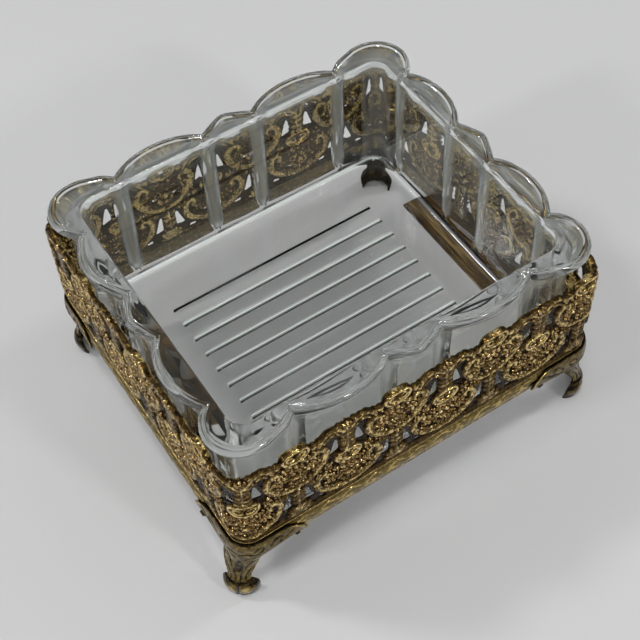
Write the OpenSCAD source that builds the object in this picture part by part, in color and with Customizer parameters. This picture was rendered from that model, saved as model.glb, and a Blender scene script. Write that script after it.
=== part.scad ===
// Pressed-glass dish with a scalloped flange, lying loose in a pierced brass
// stand on four cabriole feet. Millimetres, +Z up, +X along the long front,
// origin on the table under the middle of the stand.

/* [Glass dish] */
// Length of the well inside its walls, left to right
well_l = 100; // [90:1:120]
// Width of the well inside its walls, front to back
well_w = 85; // [75:1:100]
// Depth of the well from the top of the flange to the floor
well_d = 40.7; // [34:0.1:46]
// Corner radius of the well
well_r = 5; // [3:0.5:8]
// Thickness of the floor
floor_t = 5; // [4:0.1:7]
// Thickness of the wall behind a flute
wall_t = 2.6; // [2:0.1:3]
// How far the wall's panels swell out between the flutes
panel_swell = 1.8; // [1:0.1:2.2]
// Thickness of the flange
flange_t = 3.6; // [2.6:0.1:5]
// Reach of the flange past the well at its notches
flange_reach = 3.8; // [3.2:0.1:5]
// How far the flange's lobes swell past its notches
lobe_swell = 4.2; // [2.5:0.1:5]
// Radius of the flange at its four corners
flange_r = 10; // [7:0.5:12]
// Half the length of the small lobe in the middle of each side
mid_lobe = 8.2; // [6:0.1:10]
// Distance from the end of the well to the last notch, along the long sides
corner_l = 14; // [11:0.5:17]
// Distance from the end of the well to the last notch, along the short sides
corner_w = 10; // [8:0.5:13]

/* [Drain bars] */
// Number of raised bars on the floor
bar_count = 8; // [5:1:9]
// Length of the bars
bar_l = 69; // [50:1:80]
// Distance from bar to bar
bar_pitch = 6.3; // [5:0.1:7]
// Height of the bars above the floor
bar_h = 0.9; // [0.5:0.1:1.5]
// Width of the groove between two bars at the top
groove_w = 1.3; // [0.8:0.1:2]

/* [Gallery strip] */
// Room between the dish's body and the gallery at the left and right ends
room_l = 3; // [1.5:0.1:6]
// Room between the dish's body and the gallery at the front and back
room_w = 3.8; // [1.5:0.1:6]
// Outer radius of the gallery's bent corners
stand_r = 5.5; // [4:0.5:8]
// Thickness of the brass sheet
sheet_t = 0.8; // [0.5:0.1:1]
// Height of the strip to the dips of its wavy edge
strip_h = 31; // [28:0.1:34]
// Height of the crests on the wavy edge above its dips
crest_h = 1.6; // [1:0.1:2.5]
// Length of one repeat of the pattern, before it is fitted to the strip
repeat_l = 30; // [24:1:36]

/* [Base band] */
// Height of the band's lower edge above the table
band_z = 22.2; // [18:0.1:26]
// Height of the band
band_h = 6.4; // [5:0.1:8]
// How far the middle of the band swells out past the gallery
band_out = 0.75; // [0.4:0.05:1]
// Height of the lip that the gallery is soldered to
lip_h = 2.4; // [1.5:0.1:3.5]

/* [Ledges] */
// Length of each ledge under the dish
ledge_l = 44; // [30:1:60]
// How far each ledge reaches in from the band
ledge_in = 12; // [9:0.5:14]
// Height of the ledges' tops above the band's lower edge
ledge_up = 1.6; // [1.3:0.1:2.4]

/* [Feet] */
// Thickness of the stamped feet
foot_t = 0.8; // [0.6:0.1:1.2]
// Half the width of a foot's wings, measured round the corner
wing_w = 20.9; // [17:0.1:24]
// Half the width of a foot's ankle, measured round its bend
ankle_w = 4; // [3:0.1:5]
// Half the width of a foot's toe, measured round its bend
toe_w = 6.6; // [5:0.1:8]
// How far the toe stands out past the gallery's corner
toe_out = 3; // [2:0.1:6]
// How far the front feet sit round their corners from straight
foot_slew = 1.1; // [0:0.1:2]
// How far the front toes lean towards the back; the back ones lean less
toe_lean = 2.5; // [0:0.1:3]
// Clearance between a foot's wings and the band
foot_gap = 0.15; // [0.05:0.01:0.2]

/* [Hidden] */

GLASS = "#c8dcd2";
BRASS = "#9a7a3f";
DARK_BRASS = "#7d6232";

eps = 0.01;                        // overrun of a cut past the face it opens
corner_steps = 8;                  // flats in each bent corner of the stand

// Heights above the table
ledge_z = band_z + ledge_up;       // dish rests here
floor_z = ledge_z + floor_t;       // top of the dish's floor
rim_z = floor_z + well_d;          // top of the flange
strip_z = band_z + band_h;         // bottom edge of the gallery

// Outer size of the gallery, which goes round the dish's body
stand_l = well_l + 2 * (wall_t + panel_swell + room_l + sheet_t);
stand_w = well_w + 2 * (wall_t + panel_swell + room_w + sheet_t);
half_l = stand_l / 2;
half_w = stand_w / 2;

// ---------------------------------------------------------------- outlines

// Points on an arc from a to b, swelling to the right of that direction by
// sag; b itself is left to the next stretch.
function arc(a, b, sag, n) =
    let (
        chord = norm(b - a),
        along = (b - a) / chord,
        out = [along.y, -along.x],
        r = (chord * chord / 4 + sag * sag) / (2 * sag),
        centre = (a + b) / 2 - out * (r - sag),
        spread = asin(chord / (2 * r))
    )
    [for (i = [0:n - 1])
        let (t = spread * (2 * i / n - 1))
        centre + r * (cos(t) * out + sin(t) * along)];

// A quarter of the scalloped outline, from the middle of the +X side round
// the corner to the middle of the +Y side. nx and ny are the distances from
// the middle to the notches' line, swell is the height of the lobes.
function lobed_quarter(nx, ny, swell, r) =
    let (
        tip = 1.2,
        side = [nx, well_w / 2 - corner_w],
        end = [well_l / 2 - corner_l, ny],
        a = [nx + swell, ny + swell - r],
        b = [nx + swell - r, ny + swell]
    )
    concat(
        [[nx + swell * 0.7, tip]],
        arc([nx, mid_lobe], side, swell, 8),
        arc(side, a, swell * 0.24, 4),
        arc(a, b, r * (1 - cos(45)), 8),
        arc(b, end, swell * 0.28, 4),
        arc(end, [mid_lobe, ny], swell, 8),
        [[mid_lobe, ny], [tip, ny + swell * 0.7]]
    );

function flipped(points, sx, sy) = [for (p = points) [sx * p.x, sy * p.y]];
function backwards(points) = [for (i = [len(points) - 1:-1:0]) points[i]];

// The whole scalloped outline, anticlockwise
function lobed(nx, ny, swell, r) =
    let (q = lobed_quarter(nx, ny, swell, r))
    concat(
        q,
        backwards(flipped(q, -1, 1)),
        flipped(q, -1, -1),
        backwards(flipped(q, 1, -1))
    );

// A rounded rectangle, anticlockwise from its +X +Y corner
function rounded(hx, hy, r, n) =
    [for (k = [0:3], i = [0:n])
        let (
            a = 90 * k + 90 * i / n,
            cx = (k == 0 || k == 3) ? hx - r : r - hx,
            cy = (k < 2) ? hy - r : r - hy
        )
        [cx + r * cos(a), cy + r * sin(a)]];

// -------------------------------------------------------------- glass dish

// A slab of the dish with its scalloped edge drawn in by inset
module lobed_slab(z, h, reach, swell, r, inset) {
    translate([0, 0, z])
        linear_extrude(h)
            polygon(lobed(well_l / 2 + reach - inset, well_w / 2 + reach - inset, swell, r - inset / 2));
}

// The body under the flange, with a rounded foot edge in two steps
module dish_body() {
    edge = floor_t / 5;
    wall_r = flange_r - 1;
    lobed_slab(ledge_z, edge + eps, wall_t, panel_swell, wall_r, 2.4);
    lobed_slab(ledge_z + edge, 2 * edge + eps, wall_t, panel_swell, wall_r, 1);
    lobed_slab(ledge_z + 3 * edge, rim_z - flange_t / 2 - ledge_z - 3 * edge, wall_t, panel_swell, wall_r, 0);
}

// The flange, with its top and bottom edges eased
module flange() {
    ease = flange_t / 6;
    lobed_slab(rim_z - flange_t, flange_t, flange_reach, lobe_swell, flange_r, ease);
    lobed_slab(rim_z - flange_t + ease, flange_t - 2 * ease, flange_reach, lobe_swell, flange_r, 0);
}

// One raised bar, running left to right, narrower at its top
module drain_bar() {
    foot_w = bar_pitch - groove_w / 4;
    top_w = bar_pitch - groove_w;
    translate([-bar_l / 2, 0, floor_z])
        rotate([90, 0, 90])
            linear_extrude(bar_l)
                polygon([
                    [-foot_w / 2, -floor_t / 4],
                    [foot_w / 2, -floor_t / 4],
                    [foot_w / 2, 0],
                    [top_w / 2, bar_h],
                    [-top_w / 2, bar_h],
                    [-foot_w / 2, 0],
                ]);
}

module glass_dish() {
    color(GLASS) {
        difference() {
            union() {
                dish_body();
                flange();
            }
            translate([0, 0, floor_z])
                linear_extrude(well_d + 1)
                    polygon(rounded(well_l / 2, well_w / 2, well_r, 6));
        }
        for (i = [0:bar_count - 1])
            translate([0, (i - (bar_count - 1) / 2) * bar_pitch, 0])
                drain_bar();
    }
}

// ----------------------------------------------------------- gallery strip

straight_l = stand_l - 2 * stand_r;           // flat stretch of a long side
straight_w = stand_w - 2 * stand_r;           // flat stretch of a short side
bend_r = stand_r - sheet_t / 2;               // middle of the sheet in a corner
bend_l = PI / 2 * bend_r;                     // sheet used by one corner
strip_l = 2 * (straight_l + straight_w) + 4 * bend_l;
repeats = max(8, round(strip_l / repeat_l));
pitch = strip_l / repeats;
unit = pitch / 30;                            // stretch of the pattern as drawn
rise = strip_h / 32.2;                        // the same, upwards
first_repeat = -0.3 * pitch;                  // middle of a repeat, from the front's middle

// Place and heading of a point s along the strip, from the middle of the
// front round to the right: [x, y, outward angle]
function strip_at(s0) =
    let (
        s = (s0 % strip_l + strip_l) % strip_l,
        x = straight_l / 2,
        y = straight_w / 2,
        a = x + bend_l,
        b = a + straight_w,
        c = b + bend_l,
        d = c + straight_l,
        e = d + bend_l,
        f = e + straight_w,
        g = f + bend_l
    )
    s < x ? [s, -y - bend_r, -90] :
    s < a ? bend_at(x, -y, -90, s - x) :
    s < b ? [x + bend_r, s - a - y, 0] :
    s < c ? bend_at(x, y, 0, s - b) :
    s < d ? [x - (s - c), y + bend_r, 90] :
    s < e ? bend_at(-x, y, 90, s - d) :
    s < f ? [-x - bend_r, y - (s - e), 180] :
    s < g ? bend_at(-x, -y, 180, s - f) :
    [s - g - x, -y - bend_r, -90];

function bend_at(cx, cy, start, s) =
    let (a = start + s / bend_l * 90)
    [cx + bend_r * cos(a), cy + bend_r * sin(a), a];

// Cuts through the strip at s, with a shape drawn in [along, up] about s
module cut_through(s, shape) {
    at = strip_at(s);
    translate([at.x, at.y, 0])
        rotate([90, 0, at[2] + 90])
            translate([0, 0, -1.5 * sheet_t])
                linear_extrude(3 * sheet_t)
                    polygon(shape);
}

// Piercings of one half repeat: [distance from the middle, [[along, up], ...]]
// with up measured from the strip's lower edge
PIERCINGS = [
    [11.4, [[-1.8, 20.0], [1.6, 20.8], [1.0, 25.4], [0.2, 26.9], [-0.8, 24.4]]],
    [3.6, [[-1.4, 19.3], [1.4, 21.4], [-1.0, 21.4]]],
    [7.2, [[-1.2, 16.2], [0.6, 15.4], [0.9, 16.8]]],
    [3.4, [[-1.3, 5.8], [1.7, 5.0], [-0.6, 11.5], [-1.3, 11.7]]],
    [7.2, [[-1.4, 2.3], [1.3, 1.9], [0.6, 3.3], [-0.8, 3.5]]],
    [11.6, [[-1.4, 7.2], [1.2, 5.7], [0.9, 7.4]]],
    [11.5, [[-1.7, 29.2], [0, 30.1], [1.7, 29.6], [0, 31.0]]],
];

// One dip of the wavy edge, w wide
function dip(w, depth) = [
    [-w / 2, strip_h + crest_h + eps],
    [-w / 2, strip_h + crest_h - depth * 0.35],
    [-w / 3, strip_h + crest_h - depth],
    [w / 3, strip_h + crest_h - depth],
    [w / 2, strip_h + crest_h - depth * 0.35],
    [w / 2, strip_h + crest_h + eps],
];

module gallery_strip() {
    color(BRASS)
        translate([0, 0, strip_z])
            difference() {
                linear_extrude(strip_h + crest_h)
                    difference() {
                        polygon(rounded(half_l, half_w, stand_r, corner_steps));
                        polygon(rounded(half_l - sheet_t, half_w - sheet_t, stand_r - sheet_t, corner_steps));
                    }
                for (k = [0:repeats - 1]) {
                    middle = first_repeat + k * pitch;
                    for (side = [-1, 1]) {
                        for (p = PIERCINGS)
                            cut_through(middle + side * p[0] * unit, [for (q = p[1]) [side * q.x * unit, q.y * rise]]);
                        cut_through(middle + side * 6 * unit, dip(5.4 * unit, crest_h));
                    }
                    cut_through(middle + pitch / 2, dip(1.8 * unit, crest_h / 2));
                }
            }
}

// --------------------------------------------------------------- base band

band_in = 0.05 - sheet_t;          // inner face of the band

// Section of the band as [distance out from the gallery's face, height]
// above the band's lower edge, anticlockwise seen from the -Y end
BAND_SECTION = [
    [band_in, 0],
    [0.05, 0],
    [band_out * 0.75, band_h * 0.2],
    [band_out, band_h * 0.45],
    [band_out * 0.8, band_h * 0.7],
    [0.1, band_h * 0.95],
    [0, band_h],
    [-sheet_t - foot_gap, band_h],
    [-sheet_t - foot_gap, band_h + lip_h],
    [-2 * sheet_t - foot_gap, band_h + lip_h],
    [-2 * sheet_t - foot_gap, band_h * 0.94],
    [band_in, band_h * 0.8],
];

// A closed section carried round the stand's rounded outline
module swept_ring(section) {
    n = 4 * (corner_steps + 1);
    m = len(section);
    rings = [for (q = section) rounded(half_l + q.x, half_w + q.x, stand_r + q.x, corner_steps)];
    points = [for (j = [0:m - 1], i = [0:n - 1]) [rings[j][i].x, rings[j][i].y, section[j].y]];
    faces = [for (j = [0:m - 1], i = [0:n - 1])
        let (i2 = (i + 1) % n, j2 = (j + 1) % m)
        [j * n + i, j2 * n + i, j2 * n + i2, j * n + i2]];
    polyhedron(points, faces);
}

module base_band() {
    color(BRASS)
        translate([0, 0, band_z])
            swept_ring(BAND_SECTION);
}

// ----------------------------------------------------------------- ledges

// An angle strip soldered inside the band; its flat top carries the dish
module ledge(side) {
    face = half_l + band_in;
    leg = ledge_up - 0.5;
    color(DARK_BRASS)
        mirror([side < 0 ? 1 : 0, 0, 0])
            translate([0, ledge_l / 2, ledge_z])
                rotate([90, 0, 0])
                    linear_extrude(ledge_l)
                        polygon([
                            [face - ledge_in, 0],
                            [face - ledge_in, -sheet_t],
                            [face - sheet_t, -sheet_t],
                            [face - sheet_t, -leg],
                            [face, -leg],
                            [face, 0],
                        ]);
}

module ledge_left() ledge(-1);
module ledge_right() ledge(1);

// ------------------------------------------------------------------- feet

collar_z = strip_z - 0.1;          // top of a foot, just under the gallery
wing_z = band_z + 0.6;             // tip of a wing, at the band's lower edge
foot_cols = 16;
hug = foot_gap + foot_t;           // from the band's face to the foot's own

// Rows of a foot from its collar to its toe: [height at the corner, height at
// the row's ends, half width, distance out past the gallery's corner, bend
// radius as a share of the corner's, share of the toe's lean]
FOOT_ROWS = [
    [collar_z, collar_z - 0.4, wing_w * 0.72, hug + 0.15, 1, 0],
    [collar_z - 0.25 * band_h, collar_z - 0.24 * band_h, wing_w * 0.85, hug + band_out * 0.8, 1, 0],
    [collar_z - 0.50 * band_h, collar_z - 0.45 * band_h, wing_w * 0.93, hug + band_out, 1, 0],
    [collar_z - 0.75 * band_h, collar_z - 0.66 * band_h, wing_w * 0.98, hug + band_out, 1, 0],
    [wing_z - 0.1, wing_z + 0.4, wing_w, hug + band_out * 0.85, 1, 0],
    [wing_z * 0.92, wing_z * 0.98, wing_w * 0.93, hug + band_out * 0.4, 1, 0.04],
    [wing_z * 0.85, wing_z * 0.96, wing_w * 0.82, hug + 0.1, 1, 0.15],
    [wing_z * 0.78, wing_z * 0.92, wing_w * 0.70, hug - 0.1, 0.98, 0.32],
    [wing_z * 0.71, wing_z * 0.86, wing_w * 0.58, hug - 0.1, 0.94, 0.50],
    [wing_z * 0.64, wing_z * 0.77, wing_w * 0.46, hug, 0.87, 0.66],
    [wing_z * 0.56, wing_z * 0.66, wing_w * 0.34, hug + 0.2, 0.78, 0.80],
    [wing_z * 0.48, wing_z * 0.53, ankle_w * 1.25, hug + 0.5, 0.68, 0.90],
    [wing_z * 0.40, wing_z * 0.42, ankle_w, toe_out * 0.55, 0.60, 0.96],
    [wing_z * 0.35, wing_z * 0.36, ankle_w * 1.1, toe_out * 0.72, 0.59, 0.99],
    [wing_z * 0.30, wing_z * 0.31, toe_w * 0.80, toe_out * 0.91, 0.62, 1],
    [wing_z * 0.23, wing_z * 0.23, toe_w * 0.95, toe_out, 0.62, 1],
    [wing_z * 0.13, wing_z * 0.13, toe_w, toe_out, 0.62, 1],
    [wing_z * 0.04, wing_z * 0.04, toe_w * 0.97, toe_out * 0.93, 0.62, 1],
    [0, 0, toe_w * 0.92, toe_out * 0.82, 0.61, 1],
];

// A point on a foot at u (-1 to 1 round the corner) in row q, sunk in by depth
function foot_point(q, u, depth, slew, lean) =
    let (
        z = q[0] + (q[1] - q[0]) * u * u,
        reach = stand_r + q[3],
        r = reach * q[4],
        widest = q[4] == 1 ? PI / 4 * r : PI * r,
        s = u * q[2] + slew * (1 - q[5]),
        bend = min(widest, abs(s)) * sign(s),
        past = s - bend,
        a = 45 + bend / r * 180 / PI,
        middle = (reach - r) / sqrt(2),
        aside = lean * q[5] / sqrt(2),
        x = half_l - stand_r + middle - aside + (r - depth) * cos(a) - past * sin(a),
        y = half_w - stand_r + middle + aside + (r - depth) * sin(a) + past * cos(a)
    )
    [x, y, z];

// One foot, a stamped shell bent round the corner at +X +Y
module foot_shell(slew, lean) {
    rows = len(FOOT_ROWS);
    cols = foot_cols + 1;
    layer = rows * cols;
    points = [for (depth = [0, foot_t], q = FOOT_ROWS, c = [0:foot_cols])
        foot_point(q, 2 * c / foot_cols - 1, depth, slew, lean)];
    outer = [for (r = [0:rows - 2], c = [0:foot_cols - 1])
        let (p = r * cols + c)
        each [[p, p + 1, p + cols + 1], [p, p + cols + 1, p + cols]]];
    inner = [for (f = outer) [f[2] + layer, f[1] + layer, f[0] + layer]];
    low = (rows - 1) * cols;
    top_edge = [for (c = [0:foot_cols - 1])
        each [[c + 1, c, c + layer], [c + 1, c + layer, c + 1 + layer]]];
    low_edge = [for (c = [0:foot_cols - 1])
        let (p = low + c)
        each [[p, p + 1, p + 1 + layer], [p, p + 1 + layer, p + layer]]];
    side_edges = [for (r = [0:rows - 2])
        let (p = r * cols, q = p + foot_cols)
        each [
            [p, p + cols, p + cols + layer], [p, p + cols + layer, p + layer],
            [q + cols, q, q + layer], [q + cols, q + layer, q + cols + layer],
        ]];
    polyhedron(points, concat(outer, inner, top_edge, low_edge, side_edges));
}

// askew is how a foot sits round its corner and back how much of the lean it
// has, both counted from +X to +Y as at the corner at +X +Y
module foot(side_x, side_y, askew, back) {
    color(BRASS)
        mirror([side_x < 0 ? 1 : 0, 0, 0])
            mirror([0, side_y < 0 ? 1 : 0, 0])
                foot_shell(askew * foot_slew, back * toe_lean);
}

module foot_front_left() foot(-1, -1, -1, -1);
module foot_front_right() foot(1, -1, 1, -1);
module foot_back_right() foot(1, 1, 0, 0.6);
module foot_back_left() foot(-1, 1, 0, 0.6);

glass_dish();
gallery_strip();
base_band();
ledge_left();
ledge_right();
foot_front_left();
foot_front_right();
foot_back_right();
foot_back_left();
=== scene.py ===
# %% [markdown]
# # A glass casket dish in a pierced brass stand
# The stand is stamped brass sheet: a pierced gallery soldered to a beaded band,
# on four cabriole feet. A thick pressed-glass dish with a scalloped flange lies
# loose in it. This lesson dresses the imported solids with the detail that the
# real pieces show. It starts by loading those solids as a fixed frame, because
# every new piece has to sit exactly where its solid sits.

# %% Load the solids
import math

import bmesh
import bpy
import numpy as np
from mathutils import Matrix, Vector


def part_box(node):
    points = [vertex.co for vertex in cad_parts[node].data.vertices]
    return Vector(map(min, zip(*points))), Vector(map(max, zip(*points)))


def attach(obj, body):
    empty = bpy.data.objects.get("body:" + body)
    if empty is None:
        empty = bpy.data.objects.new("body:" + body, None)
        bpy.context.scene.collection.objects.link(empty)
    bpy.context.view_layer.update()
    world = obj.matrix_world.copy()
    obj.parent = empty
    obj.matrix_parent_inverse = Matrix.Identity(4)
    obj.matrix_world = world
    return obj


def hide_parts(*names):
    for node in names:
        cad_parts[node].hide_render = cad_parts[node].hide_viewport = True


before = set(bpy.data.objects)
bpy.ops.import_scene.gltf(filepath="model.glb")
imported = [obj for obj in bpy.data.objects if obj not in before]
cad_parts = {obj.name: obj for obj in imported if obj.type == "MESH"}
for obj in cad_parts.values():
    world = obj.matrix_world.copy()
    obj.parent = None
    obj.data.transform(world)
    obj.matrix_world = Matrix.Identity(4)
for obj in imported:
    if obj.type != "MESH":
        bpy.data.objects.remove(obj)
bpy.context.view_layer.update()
print("solids", sorted(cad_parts))

# %% [markdown]
# The measurements are easier to read in millimetres, and Blender works in
# metres, so one factor turns the first into the second. The sizes come from
# the solids where they can be read there.

# %% Sizes of the solids, in millimetres
MM = 0.001


def box_mm(node):
    low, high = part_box(node)
    return np.array(low) / MM, np.array(high) / MM


gallery_low, gallery_high = box_mm("gallery_strip")
band_low, _ = box_mm("base_band")
dish_low, dish_high = box_mm("glass_dish")
half_l, half_w = gallery_high[0], gallery_high[1]
strip_z, band_z, rim_z, ledge_z = gallery_low[2], band_low[2], dish_high[2], dish_low[2]
well_l, well_w, well_r, floor_t = 100.0, 85.0, 5.0, 5.0
floor_z = ledge_z + floor_t
sheet_t, stand_r, band_h = 0.8, 5.5, 6.4
print("stand", half_l * 2, "x", half_w * 2, "rim at", rim_z, "floor at", floor_z)

# %% [markdown]
# The camera stands where the photographer stood: above the front-left corner,
# looking down at about fifty degrees through a long lens.

# %% The camera
camera_data = bpy.data.cameras.new("camera")
camera_data.sensor_width = 36
camera_data.lens = 73.27
camera_data.clip_start, camera_data.clip_end = 0.01, 20
camera = bpy.data.objects.new("camera", camera_data)
right = Vector((0.83597617, -0.54771466, -0.03394855))
up = Vector((0.46097969, 0.66733659, 0.5849441))
back = Vector((-0.29772735, -0.50464892, 0.81036282))
camera.matrix_world = Matrix((right, up, back)).transposed().to_4x4()
camera.location = (-0.113413, -0.192248, 0.334134)
bpy.context.scene.collection.objects.link(camera)
bpy.context.scene.camera = camera
print("camera", [round(c, 3) for c in camera.location], "lens", camera_data.lens)

# %% [markdown]
# ## Materials
# A small helper keeps each material short: it makes a Principled material and
# hands back its node tree, and a second one links a chain of nodes. All the
# patterns use Object coordinates or an attribute that the piece carries, so
# that they stay on the piece in any view.

# %% Helpers for materials
bpy.context.scene.view_settings.view_transform = "Standard"


def new_material(name, **values):
    """A Principled material with plain values set on its sockets"""
    material = bpy.data.materials.new(name)
    material.use_nodes = True
    shader = material.node_tree.nodes["Principled BSDF"]
    for socket, value in values.items():
        shader.inputs[socket.replace("_", " ")].default_value = value
    return material, material.node_tree, shader


def add_node(tree, kind, **settings):
    node = tree.nodes.new(kind)
    for key, value in settings.items():
        if key in node.inputs:
            node.inputs[key].default_value = value
        else:
            setattr(node, key, value)
    return node


def ramp(tree, source, stops):
    """A colour ramp fed by a socket"""
    node = tree.nodes.new("ShaderNodeValToRGB")
    while len(node.color_ramp.elements) < len(stops):
        node.color_ramp.elements.new(0.5)
    for element, (place, colour) in zip(node.color_ramp.elements, stops):
        element.position = place
        element.color = (*colour, 1)
    tree.links.new(source, node.inputs[0])
    return node.outputs[0]


def object_noise(tree, scale, detail=3.0, roughness=0.5):
    place = add_node(tree, "ShaderNodeTexCoord")
    noise = add_node(tree, "ShaderNodeTexNoise", Scale=scale, Detail=detail, Roughness=roughness)
    tree.links.new(place.outputs["Object"], noise.inputs["Vector"])
    return noise.outputs["Fac"]


def bump(tree, shader, source, strength, distance):
    node = add_node(tree, "ShaderNodeBump", Strength=strength, Distance=distance)
    tree.links.new(source, node.inputs["Height"])
    tree.links.new(node.outputs["Normal"], shader.inputs["Normal"])


def mapped(tree, source, low, high):
    """A value between 0 and 1 carried to one between low and high"""
    node = add_node(tree, "ShaderNodeMapRange")
    node.inputs["To Min"].default_value, node.inputs["To Max"].default_value = low, high
    tree.links.new(source, node.inputs["Value"])
    return node.outputs["Result"]


print("helpers ready")

# %% [markdown]
# The brass is old and lacquered. Its high places are rubbed to a warm gold and
# its hollows hold brown tarnish, deepened towards black as painted shade. Each
# stamped piece carries an attribute named relief, 0 in the hollows and 1 on the
# crests. The material adds a fine mottle to it, so that the wear has no clean
# edge, and picks its colour from the sum.

# %% Brass
MOTTLE_SHARE, RELIEF_SHARE = 1.05, 0.52
DARK_AT, MIDDLE_AT, BRIGHT_AT = 0.53, 0.9, 1.0
ROUGHER_IN_HOLLOWS = 0.18
DENTED_FINELY, DENTED_BROADLY = (1200.0, 0.8, 0.0006), (900.0, 0.5, 0.0004)


def brass_material(name, dark, middle, bright, roughness, pits=(1500.0, 0.25, 0.0002)):
    """Stamped brass; pits is the scale, strength and distance of its bump"""
    material, tree, shader = new_material(name, Metallic=1.0)
    relief = add_node(tree, "ShaderNodeAttribute", attribute_name="relief")
    mottle = object_noise(tree, 750.0, 5.0, 0.7)
    shift = add_node(tree, "ShaderNodeMath", operation="MULTIPLY_ADD")
    tree.links.new(mottle, shift.inputs[0])
    shift.inputs[1].default_value = MOTTLE_SHARE
    weighed = add_node(tree, "ShaderNodeMath", operation="MULTIPLY")
    weighed.inputs[1].default_value = RELIEF_SHARE
    tree.links.new(relief.outputs["Fac"], weighed.inputs[0])
    tree.links.new(weighed.outputs[0], shift.inputs[2])
    # the dark end is partly tarnish in the hollows and partly painted shade
    stops = [(DARK_AT, dark), (MIDDLE_AT, middle), (BRIGHT_AT, bright)]
    tree.links.new(ramp(tree, shift.outputs[0], stops), shader.inputs["Base Color"])
    rough = mapped(tree, shift.outputs[0], roughness + ROUGHER_IN_HOLLOWS, roughness)
    tree.links.new(rough, shader.inputs["Roughness"])
    bump(tree, shader, object_noise(tree, pits[0], 2.0), *pits[1:])
    return material


gallery_brass = brass_material(
    "gallery_brass", (0.015, 0.008, 0.004), (0.17, 0.103, 0.03), (0.97, 0.74, 0.32), 0.1, DENTED_FINELY
)
bead_brass = brass_material("bead_brass", (0.05, 0.03, 0.012), (0.28, 0.17, 0.058), (0.97, 0.76, 0.36), 0.13)
band_brass = brass_material(
    "band_brass", (0.02, 0.014, 0.005), (0.24, 0.172, 0.06), (0.62, 0.46, 0.17), 0.2, DENTED_BROADLY
)
# painted shade: the inside of the sheet is near black
foot_inside_shade = brass_material(
    "foot_inside_shade", (0.008, 0.006, 0.004), (0.03, 0.022, 0.012), (0.09, 0.065, 0.03), 0.45
)
foot_brass = brass_material(
    "foot_brass", (0.012, 0.008, 0.004), (0.23, 0.165, 0.055), (0.6, 0.46, 0.17), 0.18, DENTED_BROADLY
)
print("brass", gallery_brass.name, bead_brass.name, band_brass.name, foot_brass.name, foot_inside_shade.name)

# %% [markdown]
# The ledges carry no attribute, because their solids stay as they are. Theirs
# is a noise drawn out along Y, which gives the streaks of plain rolled sheet.

# %% Brass of the ledges
ledge_brass, ledge_tree, ledge_shader = new_material("ledge_brass", Metallic=1.0)
place = add_node(ledge_tree, "ShaderNodeTexCoord")
drawn_out = add_node(ledge_tree, "ShaderNodeMapping", Scale=(600, 45, 600))
streaks = add_node(ledge_tree, "ShaderNodeTexNoise", Scale=1.0, Detail=4.0, Roughness=0.65)
ledge_tree.links.new(place.outputs["Object"], drawn_out.inputs["Vector"])
ledge_tree.links.new(drawn_out.outputs["Vector"], streaks.inputs["Vector"])
streaky = ramp(
    ledge_tree,
    streaks.outputs["Fac"],
    [(0.35, (0.03, 0.018, 0.007)), (0.52, (0.18, 0.105, 0.032)), (0.72, (0.6, 0.4, 0.13))],
)
ledge_tree.links.new(streaky, ledge_shader.inputs["Base Color"])
dull = mapped(ledge_tree, streaks.outputs["Fac"], 0.6, 0.25)
ledge_tree.links.new(dull, ledge_shader.inputs["Roughness"])
bump(ledge_tree, ledge_shader, streaks.outputs["Fac"], 0.4, 0.0002)
print("ledges", ledge_brass.name)

# %% [markdown]
# Old pressed glass is clear with a faint green cast, and its fire-polished skin
# is very slightly uneven. Transmission with a low bump shows both. The dish
# carries two attributes. One makes the skin matt where the mould left it so:
# the underside of the flange and the flutes; it also paints pale highlight
# lines in the cove and along one foot of each drain bar. The other darkens: a
# grey in the thick rim that is partly the glass's own tint and partly painted
# shade, and black painted shade along the other foot of each drain bar.

# %% Glass
MIX_FACTOR, MIX_A, MIX_B, MIX_COLOUR = 0, 6, 7, 2
# the grey tint is partly the thick glass's own and partly painted shade; the black one is painted shade for
# the drain bars
CLEAR_TINT, GREY_TINT_AND_SHADE, BAR_SHADE = (0.975, 0.99, 0.98), (0.72, 0.76, 0.745), (0.0, 0.0, 0.0)
# the pale tint of matt glass, which also paints the highlight lines in the cove and along the drain bars
FROST_AND_HIGHLIGHT_TINT = (0.88, 0.955, 0.92, 1)
FROST_ROUGHNESS, FROST_CLEARNESS = 0.3, 0.45

glass, glass_tree, glass_shader = new_material(
    "pressed_glass", Roughness=0.0, IOR=1.46, Transmission_Weight=1.0
)
tint_and_shade = add_node(glass_tree, "ShaderNodeAttribute", attribute_name="tint_and_shade")
# clear, then a grey that is partly the glass's tint and partly painted shade, then black painted shade for
# the drain bars
tint = ramp(glass_tree, tint_and_shade.outputs["Fac"], [(0.0, CLEAR_TINT), (0.4, GREY_TINT_AND_SHADE), (0.5, BAR_SHADE)])
frost_and_highlight = add_node(glass_tree, "ShaderNodeAttribute", attribute_name="frost_and_highlight")
pale = add_node(glass_tree, "ShaderNodeMix", data_type="RGBA")
glass_tree.links.new(frost_and_highlight.outputs["Fac"], pale.inputs[MIX_FACTOR])
glass_tree.links.new(tint, pale.inputs[MIX_A])
pale.inputs[MIX_B].default_value = FROST_AND_HIGHLIGHT_TINT
glass_tree.links.new(pale.outputs[MIX_COLOUR], glass_shader.inputs["Base Color"])
chill = mapped(glass_tree, frost_and_highlight.outputs["Fac"], 0.0, FROST_ROUGHNESS)
glass_tree.links.new(chill, glass_shader.inputs["Roughness"])
clear = mapped(glass_tree, frost_and_highlight.outputs["Fac"], 1.0, FROST_CLEARNESS)
glass_tree.links.new(clear, glass_shader.inputs["Transmission Weight"])
bump(glass_tree, glass_shader, object_noise(glass_tree, 45.0, 2.0), 0.03, 0.0005)
print("glass", glass.name)

# %% [markdown]
# ## Floor and light
# A plain pale floor, a pale sky all round, and five soft lamps. Together they
# are as strong as lets a colour render about as it is written, so the floor is
# written as light as the stone in the photograph.

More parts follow.
